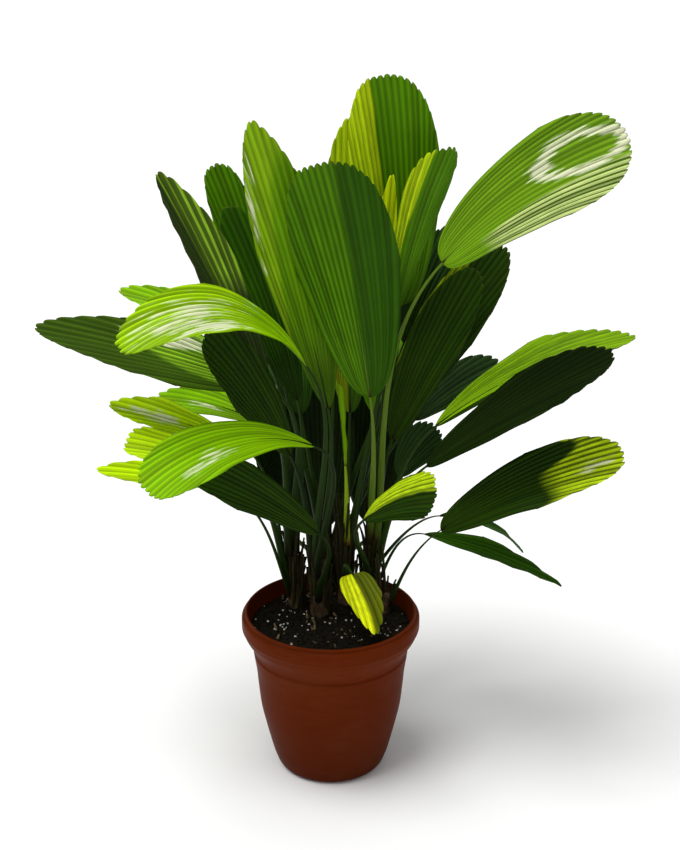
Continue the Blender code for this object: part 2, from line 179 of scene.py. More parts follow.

# Greens of the blades, linear: near the foot, over the blade and where the sun catches it, a
# painted sunlight; then how strongly the pleats stripe the sun. The looks are partly the real
# greens of young and old leaves and partly lit and shaded copies of one green: lemon and bright
# are painted sunlight, deep, black, edge and teal painted shade
LEAF_LOOKS = {
    "lemon": ((0.50, 0.76, 0.004), (0.50, 0.78, 0.002), (0.85, 0.99, 0.008), 0.3),
    "bright": ((0.28, 0.52, 0.002), (0.21, 0.47, 0.0005), (0.42, 0.72, 0.004), 0.3),
    "grass": ((0.16, 0.36, 0.002), (0.125, 0.30, 0.001), (0.26, 0.46, 0.006), 0.2),
    "fresh": ((0.11, 0.28, 0.002), (0.072, 0.210, 0.0005), (0.68, 0.90, 0.008), 0.25),
    # a painted whitish sheen where the sun catches the blade
    "glossy": ((0.16, 0.34, 0.006), (0.145, 0.30, 0.008), (0.66, 0.78, 0.28), 1.0),
    "edge": ((0.026, 0.062, 0.001), (0.013, 0.040, 0.0005), (0.27, 0.53, 0.001), 0.2),
    "striped": ((0.060, 0.150, 0.004), (0.040, 0.088, 0.003), (0.30, 0.60, 0.02), 0.4),
    "mid": ((0.034, 0.110, 0.001), (0.027, 0.100, 0.0004), (0.090, 0.24, 0.001), 0.3),
    "deep": ((0.026, 0.062, 0.001), (0.013, 0.040, 0.0005), (0.60, 0.85, 0.010), 0.55),
    "black": ((0.012, 0.030, 0.001), (0.006, 0.016, 0.0005), (0.05, 0.10, 0.003), 0.3),
    "olive": ((0.036, 0.060, 0.012), (0.028, 0.050, 0.010), (0.34, 0.62, 0.03), 0.65),
    "teal": ((0.028, 0.066, 0.012), (0.018, 0.048, 0.009), (0.10, 0.20, 0.04), 0.3),
    "torn": ((0.13, 0.17, 0.003), (0.12, 0.15, 0.002), (0.88, 0.99, 0.008), 0.1),
}


class Quantity:
    """A number, vector or shape that runs from node to node, with plain arithmetic on it."""

    def __init__(self, board, socket):
        self.board, self.socket = board, socket

    def __add__(self, other):
        return self.board.sum("ADD", self, other)

    def __radd__(self, other):
        return self.board.sum("ADD", other, self)

    def __sub__(self, other):
        return self.board.sum("SUBTRACT", self, other)

    def __rsub__(self, other):
        return self.board.sum("SUBTRACT", other, self)

    def __mul__(self, other):
        return self.board.product(self, other)

    __rmul__ = __mul__

    def __truediv__(self, other):
        return self.board.number("DIVIDE", self, other)

    def __rtruediv__(self, other):
        return self.board.number("DIVIDE", other, self)

    def __pow__(self, other):
        return self.board.number("POWER", self, other)

    def __abs__(self):
        return self.board.number("ABSOLUTE", self)

    def is_vector(self):
        return self.socket.type in ("VECTOR", "RGBA")

    def part(self, axis):
        return self.board.node("ShaderNodeSeparateXYZ", {"Vector": self}, output=axis)


class Board:
    """Writes a node tree one quantity at a time."""

    def __init__(self, tree):
        self.tree = tree

    def node(self, kind, feeds=None, output=0, **settings):
        made = self.tree.nodes.new(kind)
        for name, value in settings.items():
            setattr(made, name, value)
        for key, value in (feeds or {}).items():
            self.feed(made.inputs[key], value)
        return Quantity(self, made.outputs[output])

    def feed(self, socket, value):
        if isinstance(value, Quantity):
            self.tree.links.new(value.socket, socket)
        else:
            socket.default_value = value

    def number(self, operation, *values, clamp=False):
        feeds = dict(enumerate(values))
        return self.node("ShaderNodeMath", feeds, operation=operation, use_clamp=clamp)

    def vector(self, operation, *values, output=0):
        feeds = dict(enumerate(values))
        return self.node("ShaderNodeVectorMath", feeds, output=output, operation=operation)

    def sum(self, operation, one, other):
        both = [value for value in (one, other) if isinstance(value, Quantity)]
        if any(value.is_vector() for value in both):
            return self.vector(operation, one, other)
        return self.number(operation, one, other)

    def product(self, one, other):
        if isinstance(other, Quantity) and other.is_vector():
            one, other = other, one
        if one.is_vector():
            return self.node(
                "ShaderNodeVectorMath", {"Vector": one, "Scale": other}, operation="SCALE"
            )
        return self.number("MULTIPLY", one, other)

    def dot(self, one, other):
        return self.vector("DOT_PRODUCT", one, other, output="Value")

    def unit(self, vector):
        return self.vector("NORMALIZE", vector)

    def join(self, x, y, z=0.0):
        return self.node("ShaderNodeCombineXYZ", {0: x, 1: y, 2: z})

    def valley(self, pleat):
        """0 along the ridge of each pleat, 1 in the valleys either side of it."""
        return abs(self.number("FRACT", pleat) - 0.5) * 2

    def clouds(self, place, detail, scale=1.0, roughness=0.5):
        """Soft noise between 0 and 1."""
        feeds = {"Vector": place, "Scale": scale, "Detail": detail, "Roughness": roughness}
        return self.node("ShaderNodeTexNoise", feeds)


class ShapeBoard(Board):
    """A geometry node tree with named inputs."""

    def __init__(self, name):
        super().__init__(bpy.data.node_groups.new(name, "GeometryNodeTree"))
        self.group_in = self.tree.nodes.new("NodeGroupInput")
        self.tree.interface.new_socket(
            "Geometry", in_out="OUTPUT", socket_type="NodeSocketGeometry"
        )
        self.sockets = {}

    def input(self, name, kind="Float"):
        socket = self.tree.interface.new_socket(
            name, in_out="INPUT", socket_type="NodeSocket" + kind
        )
        self.sockets[name] = socket.identifier
        return Quantity(self, self.group_in.outputs[name])

    def inputs(self, kind, *names):
        return [self.input(name, kind) for name in names]

    def joined(self, *shapes):
        whole = self.tree.nodes.new("GeometryNodeJoinGeometry")
        for shape in shapes:
            self.tree.links.new(shape.socket, whole.inputs[0])
        return Quantity(self, whole.outputs[0])

    def finish(self, *shapes):
        plain = self.node("GeometryNodeRealizeInstances", {0: self.joined(*shapes)})
        end = self.tree.nodes.new("NodeGroupOutput")
        self.tree.links.new(plain.socket, end.inputs[0])

    def dressed(self, shape, material):
        return self.node("GeometryNodeSetMaterial", {"Geometry": shape, "Material": material})

    def smooth(self, shape):
        return self.node("GeometryNodeSetShadeSmooth", {"Geometry": shape})

    def marked(self, shape, name, value, **settings):
        """The shape, carrying this value by name."""
        feeds = {"Geometry": shape, "Name": name, "Value": value}
        return self.node("GeometryNodeStoreNamedAttribute", feeds, **settings)

    def position(self):
        return self.node("GeometryNodeInputPosition")

    def curve(self, points, *ends):
        """A smooth line of so many points: its start, its two handles and its end."""
        feeds = dict(zip(("Start", "Start Handle", "End Handle", "End"), ends), Resolution=points)
        return self.node("GeometryNodeCurvePrimitiveBezierSegment", feeds, mode="POSITION")

    def tube(self, line, thickness, material, sides=10):
        """A round rod along a line, closed at both ends; its `rise` runs from 0 to 1 along it."""
        marked = self.marked(line, "rise", self.node("GeometryNodeSplineParameter"))
        ring = self.node(
            "GeometryNodeCurvePrimitiveCircle", {"Resolution": sides, "Radius": 1.0}, mode="RADIUS"
        )
        rod = self.node(
            "GeometryNodeCurveToMesh",
            {"Curve": marked, "Profile Curve": ring, "Scale": thickness, "Fill Caps": True},
        )
        return self.dressed(self.smooth(rod), material)

    def random(self, low, high, seed, which=None):
        feeds = {2: low, 3: high, "Seed": seed}
        if which is not None:
            feeds["ID"] = which
        return self.node("FunctionNodeRandomValue", feeds, output=1, data_type="FLOAT")

    def strewn(self, shape, surface, density, seed, scale):
        """Copies of a shape all over a surface, each standing out from it."""
        points = self.node(
            "GeometryNodeDistributePointsOnFaces",
            {"Mesh": surface, "Density": density, "Seed": seed},
        )
        outward = Quantity(self, points.socket.node.outputs["Normal"])
        turn = self.node(
            "FunctionNodeAlignRotationToVector", {"Vector": outward}, axis="X", pivot_axis="Z"
        )
        return self.node(
            "GeometryNodeInstanceOnPoints",
            {"Points": points, "Instance": shape, "Rotation": turn, "Scale": scale},
        )

    def solve(self, name, values, base=None):
        """Runs the tree with these values, and gives the plain mesh it makes."""
        host = bpy.data.objects.new(name, base or bpy.data.meshes.new(name))
        bpy.context.scene.collection.objects.link(host)
        modifier = host.modifiers.new("Shape", "NODES")
        modifier.node_group = self.tree
        for key, value in values.items():
            modifier[self.sockets[key]] = value
        graph = bpy.context.evaluated_depsgraph_get()
        mesh = bpy.data.meshes.new_from_object(host.evaluated_get(graph), depsgraph=graph)
        bpy.data.objects.remove(host)
        mesh.name = name
        return mesh


def placed(name, data):
    made = bpy.data.objects.new(name, data)
    bpy.context.scene.collection.objects.link(made)
    return made


def piece(name, mesh, slot, *nodes):
    """A finished piece of the plant, standing for these solids."""
    made = placed(name, mesh)
    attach(made, BODY)
    if nodes:
        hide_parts(*nodes)


# The frond: a pleated blade on a round stalk


def frond_tree():
    g = ShapeBoard("pleated_frond")
    base, bow, tip, across = g.inputs("Vector", "Blade Base", "Blade Bow", "Blade Tip", "Across")
    width, furl, widest, squareness = g.inputs("Float", "Width", "Furl", "Widest", "Squareness")
    swell, slant, keel, crease = g.inputs("Float", "Swell", "Slant", "Keel", "Crease")
    sun_across, sun_along, sun_from, sun_start = g.inputs("Float", *SUN_INPUTS)
    ring_across, ring_along, ring_width, ring_length, ring = g.inputs("Float", *GLARE_INPUTS)
    shade_end, slimness = g.inputs("Float", "Shade End", "Stalk Slimness")
    wave, tooth, ragged = g.inputs("Float", "Wave", "Tooth", "Ragged")
    depth, thickness = g.inputs("Float", "Pleat Depth", "Thickness")
    pleats, rows, seed = g.inputs("Int", "Pleats", "Rows", "Seed")
    stalk = g.inputs("Vector", "Stalk Foot", "Foot Handle", "Top Handle", "Stalk Top")
    leaf, stem = g.inputs("Material", "Leaf", "Stalk")

    # A flat sheet: u runs from -1 to 1 across it, v from 0 to 1 along it
    columns = pleats * PLEAT_STEPS + 1
    grid = g.node(
        "GeometryNodeMeshGrid",
        {"Size X": 2.0, "Size Y": 1.0, "Vertices X": columns, "Vertices Y": rows},
    )
    place = g.position()
    s, v = place.part(0), place.part(1) + 0.5
    u = s * (1 - CROWDING) + g.number("SINE", s * (math.pi / 2)) * CROWDING
    pleat = (s + 1) * pleats * 0.5
    valley = g.valley(pleat)
    pleat_number = g.number("FLOOR", pleat + 0.01)

    # Its outline, with the pleats ending in teeth
    side = abs(u)
    rounded = g.number("MAXIMUM", 1 - side**squareness, 0.0) ** (1 / squareness)
    favoured = 1 - abs(slant) * 0.5 - slant * u * 0.5
    rounded = rounded * favoured
    length = g.vector("LENGTH", tip - base, output="Value")
    unevenness = g.random(0.0, 1.0, seed, pleat_number)
    pulled_back = (valley**3 * tooth + unevenness * ragged) / length * v**END_ONLY
    along = v * (widest + (1 - widest) * rounded) - pulled_back
    spread = g.number("MAXIMUM", v**swell, NARROWEST)
    half = width * 0.5 * spread

    # Its way from base to tip
    rest = 1 - along
    centre = base * (rest * rest) + bow * (along * rest * 2) + tip * (along * along)
    ahead = g.unit((bow - base) * rest + (tip - bow) * along)
    sideways = g.unit(across - ahead * g.dot(across, ahead))
    normal = g.vector("CROSS_PRODUCT", ahead, sideways)

    # Its curl, its crease, its pleats and its waves
    curl = furl * u
    out = sideways * (g.number("SINE", curl) / furl * half)
    hinge = abs(u - keel) * crease
    lift = normal * (((1 - g.number("COSINE", curl)) / furl + hinge) * half)
    facing = normal * g.number("COSINE", curl) - sideways * g.number("SINE", curl)
    fold = (0.5 - valley) * depth * (half * 2 / pleats)
    pace_across, pace_along, pace_between = WAVE_PACE
    stray = g.clouds(g.join(u * pace_across, along * pace_along, seed * pace_between), 1.0) - 0.5
    ripple = g.number("SINE", along * RIPPLES + seed) * side**3 * RIPPLE_DEPTH
    sag = (stray + ripple) * wave * spread
    spot = centre + out + lift + facing * (fold + sag)

    # Where the sun, the shade, the glare and the crease lie on it
    edge = u * sun_across + v * sun_along - sun_from
    edge = edge + stray * SUN_STRAY + (valley - 0.5) * SUN_STEP
    begun = g.number("MULTIPLY", along - sun_start + stray * START_STRAY, SUN_EDGE, clamp=True)
    lit = g.number("MULTIPLY", edge, SUN_EDGE, clamp=True) * begun
    shaded = g.number("MULTIPLY", shade_end - along, SHADE_EDGE, clamp=True)
    creased = g.number("SUBTRACT", 1.0, abs(u - keel) * CREASE_EDGE, clamp=True)
    off_across, off_along = (u - ring_across) / ring_width, (v - ring_along) / ring_length
    away = g.number("SQRT", off_across * off_across + off_along * off_along)
    away = abs(away + stray * GLARE_STRAY - ring)
    glaring = g.number("SUBTRACT", 1.0, away / GLARE_BAND, clamp=True)
    sheet = g.marked(grid, "UVMap", g.join(pleat, v), data_type="FLOAT2", domain="CORNER")
    marks = {"sunlit": lit, "creased": creased, "glare": glaring, "shaded": shaded}
    for name, value in marks.items():
        sheet = g.marked(sheet, name, value)

    # The sheet bent, and given its thickness
    bent = g.node("GeometryNodeSetPosition", {"Geometry": sheet, "Position": spot})
    lower = g.node("GeometryNodeFlipFaces", {"Mesh": bent})
    upper = g.node(
        "GeometryNodeExtrudeMesh",
        {"Mesh": bent, "Offset Scale": thickness, "Individual": False},
    )
    closed = g.node(
        "GeometryNodeMergeByDistance", {"Geometry": g.joined(lower, upper), "Distance": WELD}
    )
    blade = g.dressed(g.smooth(closed), leaf)

    # The stalk, wide where it sheathes its stem, and the midrib that it runs into
    way = g.node("GeometryNodeSplineParameter")
    swollen = g.number("MAXIMUM", 1 - way / SHEATH_PART, 0.0) ** 2 * SHEATH_SWELL + 1
    thick = (STALK_FOOT + way * (STALK_TOP - STALK_FOOT)) * swollen * slimness
    petiole = g.tube(g.curve(STALK_POINTS, *stalk), thick, stem)
    handles = base + (bow - base) * (2 / 3), tip + (bow - tip) * (2 / 3)
    midrib = g.curve(COSTA_POINTS, base, *handles, tip)
    midrib = g.node("GeometryNodeTrimCurve", {0: midrib, 3: COSTA_PART})
    costa = g.tube(midrib, STALK_TOP * (1 - way * COSTA_TAPER), stem)
    g.finish(blade, petiole, costa)
    return g


def stem_axis(stem, height):
    """Middle of a stem at a height above the soil."""
    x, y, lean_x, lean_y, tall, _ = (value * MM for value in STEMS[stem])
    part = height / tall
    return Vector((x + lean_x * part, y + lean_y * part, SOIL_TOP + height))


def frond_values(stem, foot_height, base, tip, arch, width, roll, fold, shape, extra):
    """Control points and sizes of one frond, by the names of the frond tree's inputs."""
    base, tip = Vector(base) * MM, Vector(tip) * MM
    heading = (tip - base).normalized()
    up = Vector((0, 0, 1))
    level = up.cross(heading).normalized()
    across = Matrix.Rotation(math.radians(roll), 3, heading) @ level
    lift = (up - heading * up.dot(heading)).normalized() * (2 * arch * MM)
    bow = base.lerp(tip, 0.5) + lift
    into_blade = (bow - base).normalized()
    axis = stem_axis(stem, foot_height * MM)
    out = base - axis
    out.z = 0
    foot = axis + out.normalized() * (STEMS[stem][5] * MM)
    rise = base - foot
    start = (rise.normalized() * STALK_RISE + up).normalized()
    third = rise.length / 3
    pleats = max(2, round(width * MM / PLEAT_WIDTH / 2) * 2)
    widest, squareness, swell = BLADE_SHAPES[shape]
    return {
        **dict(zip(SUN_INPUTS, extra.get("sun", NO_SUN))),
        **dict(zip(GLARE_INPUTS, extra.get("glare", NO_GLARE))),
        "Blade Base": base,
        "Blade Bow": bow,
        "Blade Tip": tip,
        "Across": across,
        "Width": width * MM,
        "Furl": extra.get("furl", math.radians(fold) * 2),
        "Widest": widest,
        "Squareness": squareness,
        "Swell": swell,
        "Slant": extra.get("slant", 0.0),
        "Keel": extra.get("keel", 0.0),
        "Crease": extra.get("crease", CREASE),
        "Shade End": extra.get("shade", 0.0),
        "Wave": WAVE,
        "Tooth": TOOTH,
        "Ragged": RAGGED,
        "Pleat Depth": PLEAT_DEPTH,
        "Thickness": BLADE_THICKNESS,
        "Pleats": pleats,
        "Rows": round((tip - base).length / ROW_LENGTH) + 1,
        "Stalk Foot": foot,
        "Foot Handle": foot + start * third,
        "Top Handle": base - into_blade * third,
        "Stalk Top": base,
    }


def make_fronds(nodes, leaves, stalks):
    """A dressed frond for each row, in place of those of its solids that the frame has."""
    tree = frond_tree()
    for seed, (name, stem, *sizes, look, extra) in enumerate(FRONDS):
        values = frond_values(stem, *sizes, extra)
        values["Seed"] = seed
        values["Leaf"] = leaves[look]
        values["Stalk"] = stalks[extra.get("stalk", "dark")]
        values["Stalk Slimness"] = SLIMNESS if name in SLIM_STALKS else 1.0
        mesh = tree.solve("leaf_" + name, values)
        solids = ("frond_" + name, "frond_" + name + "_stalk")
        piece("leaf_" + name, mesh, "leaf_blade", *(solid for solid in solids if solid in nodes))


# Stems with their old leaf sheaths

ROOT_FLARE, TOP_TAPER = 0.5, 0.45  # of the radius
STEM_POINTS, STEM_SIDES = 30, 28
BARK_ACROSS, BARK_ALONG, BARK_DEPTH = 420, 45, 0.5  # grooves to a metre, depth over the radius
SCARS, SCAR_DEPTH = 62, 0.12  # leaf scars round a stem, to a metre
STRAND_DENSITY = 22000.0  # strands of fibre to a square metre of stem
STRAND_RADIUS, STRAND_TAPER, STRAND_SIZES = 0.45 * MM, 0.8, (0.5, 1.5)
STRAND_LINE = ((-0.3, 0, -7), (0.4, 0, -2), (0.8, 0.4, 6), (2, 1, 13))  # millimetres
STUB_DENSITY = 2600.0  # dry stubs of old stalks to a square metre of stem
STUB_RADIUS, STUB_TAPER, STUB_LENGTHS = 3.6 * MM, 0.55, (0.45, 1.55)
STUB_LINE = ((-1.5, 0, -20), (1, 0, 10), (2, 2, 40), (9, 3, 70))


def metres(spots):
    return [tuple(value * MM for value in spot) for spot in spots]


def stem_tree():
    g = ShapeBoard("fibrous_stem")
    foot, top = g.inputs("Vector", "Foot", "Top")
    radius = g.input("Radius")
    seed = g.input("Seed", "Int")
    bark, sheath = g.inputs("Material", "Bark", "Sheath")

    # The stem, grooved and ringed with scars
    line = g.node("GeometryNodeCurvePrimitiveLine", {0: foot, 1: top})
    line = g.node("GeometryNodeResampleCurve", {"Curve": line, "Count": STEM_POINTS})
    way = g.node("GeometryNodeSplineParameter")
    flare = 1 + (1 - way) ** 3 * ROOT_FLARE - way**12 * TOP_TAPER
    core = g.tube(line, radius * flare, bark, STEM_SIDES)
    place = g.position()
    x, y, z = (place.part(axis) for axis in range(3))
    rough = g.clouds(g.join(x * BARK_ACROSS, y * BARK_ACROSS, z * BARK_ALONG + seed * 3), 3.0)
    rings = g.number("FRACT", z * SCARS + seed * 0.37) * SCAR_DEPTH
    normal = g.node("GeometryNodeInputNormal")
    core = g.node(
        "GeometryNodeSetPosition",
        {"Geometry": core, "Offset": normal * ((rough - 0.5) * BARK_DEPTH + rings) * radius},
    )

    # Fibres and stubs all over it
    line = g.curve(5, *metres(STRAND_LINE))
    strand = g.tube(line, (1 - way * STRAND_TAPER) * STRAND_RADIUS, bark, sides=3)
    size = g.random(*STRAND_SIZES, seed + 1)
    strands = g.strewn(strand, core, STRAND_DENSITY, seed, g.join(size, size, size))
    line = g.curve(8, *metres(STUB_LINE))
    stub = g.tube(line, (1 - way * STUB_TAPER) * STUB_RADIUS, sheath, sides=7)
    tall = g.random(*STUB_LENGTHS, seed + 9)
    stubs = g.strewn(stub, core, STUB_DENSITY, seed + 7, g.join(1.0, 1.0, tall))
    g.finish(core, strands, stubs)
    return g


def make_stems(bark, sheath):
    tree = stem_tree()
    for seed, (name, (*_, tall, radius)) in enumerate(STEMS.items()):
        values = {
            "Foot": stem_axis(name, -4 * MM),
            "Top": stem_axis(name, tall * MM),
            "Radius": radius * MM,
            "Seed": seed,
            "Bark": bark,
            "Sheath": sheath,
        }
        mesh = tree.solve("stem_" + name, values)
        piece("sheathed_stem_" + name, mesh, "stem_fibre", "stem_" + name)


# The pot: its outline, as radius and height in millimetres

POT_SIDES = 160
INSIDE = (
    (0, 5), (80, 5), (84, 8), (90, 11), (98, 32), (108, 72), (117, 113), (121.5, 152), (124, 180),
    (127, 200), (131, 230), (135, 250), (139.5, 274), (140.6, 284), (141.4, 287.6),
)
WALL = ((147.3, 252), (143.8, 245), (138.6, 238), (135, 231.5), (133, 226), (132.4, 222.5))
GROOVE = ((131.4, 221.6), (130.6, 220.4), (130.4, 219), (130.4, 217.4), (131, 215.6))
BELL = (
    (132, 214), (130, 200), (127, 180), (124.5, 152), (120, 113), (111, 72), (101, 32), (94, 11),
)
UNDERSIDE = ((78, 0), (76, 2.5), (0, 2.5))
LIP_ROUND, RIM_ROUND, FOOT_ROUND = 2.4, 6, 13


def round_ring(radius, height, sides):
    """Corners all round the axis at one height, or the one corner on it."""
    count = sides if radius else 1
    turns = [math.tau * step / count for step in range(count)]
    return [(radius * math.cos(turn), radius * math.sin(turn), height) for turn in turns]


def closed_skin(name, rings, sides):
    """A closed mesh through rings of corners, from the axis to the axis again."""
    made = bmesh.new()
    rings = [[made.verts.new(spot) for spot in ring] for ring in rings]
    for lower, upper in zip(rings, rings[1:]):
        for step in range(sides):
            corners = []
            for ring, at in ((lower, step), (lower, step + 1), (upper, step + 1), (upper, step)):
                corner = ring[at % len(ring)]
                if corner not in corners:
                    corners.append(corner)
            made.faces.new(corners)
    bmesh.ops.recalc_face_normals(made, faces=made.faces)
    for face in made.faces:
        face.smooth = True
    mesh = bpy.data.meshes.new(name)
    made.to_mesh(mesh)
    made.free()
    return mesh


def arc(centre_radius, centre_height, size, start, end, steps):
    """Part of a circle in the outline, between two angles in degrees."""
    points = []
    for step in range(steps + 1):
        angle = math.radians(start + (end - start) * step / steps)
        points.append(
            (centre_radius + size * math.cos(angle), centre_height + size * math.sin(angle))
        )
    return points


def between(p, q, r, s, part):
    """The value a part of the way from q to r, on a smooth line through all four."""
    pull, bend, turn = r - p, 2 * p - 5 * q + 4 * r - s, 3 * q - p - 3 * r + s
    return 0.5 * (2 * q + pull * part + bend * part * part + turn * part**3)


def through(points, steps):
    """A smooth line through points of the outline."""
    line = []
    padded = [points[0], *points, points[-1]]
    for four in zip(padded, padded[1:], padded[2:], padded[3:]):
        for step in range(steps):
            line.append(tuple(between(*values, step / steps) for values in zip(*four)))
    line.append(points[-1])
    return line


def pot_mesh():
    lip = arc(143.6, 287.6, LIP_ROUND, 170, 0, 6) + [(146, 285.6)]
    rim = arc(145.5, 278, RIM_ROUND, 90, 0, 7) + arc(145.5, 263, RIM_ROUND, 0, -60, 5)
    foot = arc(80, FOOT_ROUND, FOOT_ROUND, -25, -90, 6)
    outside = [*rim, *through(WALL, 4), *GROOVE, *through(BELL, 7), *foot, *UNDERSIDE]
    rings = [round_ring(r * MM, z * MM, POT_SIDES) for r, z in (*INSIDE, *lip, *outside)]
    return closed_skin("pot", rings, POT_SIDES)


# The soil

SOIL_RINGS, SOIL_SIDES = 54, 150
SOIL_RADIUS = 134 * MM
SOIL_FLOOR, SOIL_FLOOR_RADIUS = 225 * MM, 130 * MM
SOIL_DIP = 3 * MM
SWELL_PACE, SWELL_HEIGHT = 22, 4  # heights in millimetres
CLOD_PACE, CLOD_HEIGHT = 120, 2.6
CRUMB_FLOOR = 240 * MM  # crumbs lie higher than this
CRUMB_SLOPE = 0.3  # and on faces that look up at least so much
CRUMB_SIZES = (0.4, 1.5)  # over the size of their kind
LUMP_PACE, LUMP_LEAST, LUMP_DEPTH = 1.3, 0.3, 1.4
PATCH_PACE, PATCH_START, PATCH_EDGE = 26.0, 0.48, 8.0
ANY_TURN = 3.1  # either way, in radians
CRUMB_INPUTS = ("Density", "Size", "Spread", "Squash", "Patchy")
CRUMBS = {
    # look, crumbs to a square metre, size, its width and height over that, and how far
    # they keep to patches
    "soil_crumbs": ("potting_soil", 22000.0, 2.0 * MM, 1.0, 0.8, 0.0),
    "white_grit": ("white_grit", 4500.0, 1.6 * MM, 1.0, 0.9, 0.9),
    "bark_chips": ("bark_chip", 1100.0, 6.0 * MM, 0.35, 0.2, 0.5),
}


def soil_height(x, y):
    """Height of the soil's surface, which swells slowly and lies in small clods."""
    spot = Vector((x, y, 0))
    swell = noise.noise(spot * SWELL_PACE) * SWELL_HEIGHT * MM
    clods = noise.fractal(spot * CLOD_PACE, 0.9, 2.1, 4) * CLOD_HEIGHT * MM
    return SOIL_TOP - SOIL_DIP + swell + clods


def soil_mesh():
    rings = []
    for step in range(SOIL_RINGS + 1):
        level = round_ring(SOIL_RADIUS * step / SOIL_RINGS, 0, SOIL_SIDES)
        rings.append([(x, y, soil_height(x, y)) for x, y, _ in level])
    rings.append(round_ring(SOIL_FLOOR_RADIUS, SOIL_FLOOR, SOIL_SIDES))
    rings.append(round_ring(0, SOIL_FLOOR, SOIL_SIDES))
    return closed_skin("soil", rings, SOIL_SIDES)


def crumb_tree():
    """Crumbs of one kind scattered over the soil."""
    g = ShapeBoard("crumbs")
    soil = g.input("Geometry", "Geometry")
    density, size, spread, squash, patchy = g.inputs("Float", *CRUMB_INPUTS)
    seed = g.input("Seed", "Int")
    look = g.input("Look", "Material")
    place = g.position()
    facing_up = g.number("GREATER_THAN", g.node("GeometryNodeInputNormal").part(2), CRUMB_SLOPE)
    on_top = g.number("GREATER_THAN", place.part(2), CRUMB_FLOOR)
    patch = g.clouds(place, 1.0, PATCH_PACE) - PATCH_START
    patch = g.number("MULTIPLY", patch, PATCH_EDGE, clamp=True)
    points = g.node(
        "GeometryNodeDistributePointsOnFaces",
        {
            "Mesh": soil,
            "Selection": facing_up * on_top,
            "Density": density * (1 - patchy * (1 - patch)),
            "Seed": seed,
        },
    )
    ball = g.node("GeometryNodeMeshIcoSphere", {"Radius": 1.0, "Subdivisions": 2})
    lump = g.clouds(place + seed * g.join(1.0, 1.0, 1.0), 2.0, LUMP_PACE)
    lump = place * (lump * LUMP_DEPTH + LUMP_LEAST)
    ball = g.node("GeometryNodeSetPosition", {"Geometry": ball, "Position": lump})
    scale = size * g.random(*CRUMB_SIZES, seed + 3)
    tilt = g.node(
        "FunctionNodeRandomValue",
        {0: (-ANY_TURN,) * 3, 1: (ANY_TURN,) * 3, "Seed": seed + 5},
        data_type="FLOAT_VECTOR",
    )
    crumbs = g.node(
        "GeometryNodeInstanceOnPoints",
        {
            "Points": points,
            "Instance": g.dressed(g.smooth(ball), look),
            "Rotation": g.node("FunctionNodeEulerToRotation", {"Euler": tilt}),
            "Scale": g.join(scale, scale * spread, scale * squash),
        },
    )
    g.finish(crumbs)
    return g


def make_soil(looks):
    base = soil_mesh()
    base.materials.append(looks["potting_soil"])
    piece("soil_surface", base.copy(), "potting_soil", "soil")
    tree = crumb_tree()
    for seed, (name, (look, *sizes)) in enumerate(CRUMBS.items()):
        values = dict(zip(CRUMB_INPUTS, sizes), Seed=seed, Look=looks[look])
        piece(name, tree.solve(name, values, base.copy()), "potting_soil")


# Finishes

# Patterns drawn out along a blade: pace across a pleat, pace along the blade, detail
STREAK, SUN_MOTTLE, GLINT = (0.45, 1.6, 3.0), (1.9, 9.0, 4.0), (2.6, 7.0, 5.0)
VEINS = 4  # to a pleat
YOUTH_START, YOUTH_EDGE = 0.42, 1.5
SUN_LEAST, SUN_MOTTLE_GAIN = 0.3, 1.1  # how far the painted sunlight covers the green, and more where mottled
FLANK_SWING, FLANK_TONE, FLANK_LOSS = 1.2, 0.9, -0.25
TONE_LOW, TONE_RANGE = 0.78, 0.4  # from pleat to pleat
GLINT_START, GLINT_EDGE, GLARE_EDGE = 0.45, 2.5, 4.0
GLARE_COVER, DRY_COVER, DUST_COVER = 0.85, 0.5, 0.35
DRY_END = 200  # the power that keeps dry brown to the end of a blade
BLOTCHES, LEAF_GRAIN, STALK_GRAIN = 16.0, 600.0, 40.0  # to a metre
DUST_CLOUDS, DRAG_LINES, PLASTIC_GRAIN = 9.0, 30.0, 900.0
# How fast the pot's darkening towards the bottom fades out upwards
DARKENING_FADE = 4.5  # to a metre of height
GLARE_WHITE = (0.86, 0.89, 0.62)
GLARE_VALLEY_SHADE = (0.16, 0.15, 0.05)  # painted shade in the valleys between its streaks
DRY_EDGE = (0.10, 0.07, 0.015)

# Shades of a colour: how strongly each shows and how bright it is over the colour, then its hue,
# where 0.5 is the colour's own, and its saturation
TURNED_AWAY = (0.75, 0.15, 0.51)
BLOTCHED = (0.8, 0.6, 0.505)
# Painted shade in the valleys of the pleats and painted highlights on their ridges
VALLEY_SHADE = (0.75, 0.45)
RIDGE_HIGHLIGHT = (1.0, 1.6, 0.49)
IN_CLUMP = (0.85, 0.25)
CREASED = (0.45, 0.5)
# The second stalk shade is painted shade, darker towards the foot of the stalk
STREAKED_STALK, LOW_STALK_SHADE = (0.8, 0.55), (0.7, 0.4)
# The pot's pale drag lines, then its darkening towards the bottom
PALE_PLASTIC, DARKER_LOW_PLASTIC = (0.8, 1.25, 0.5, 0.92), (0.6, 0.5)

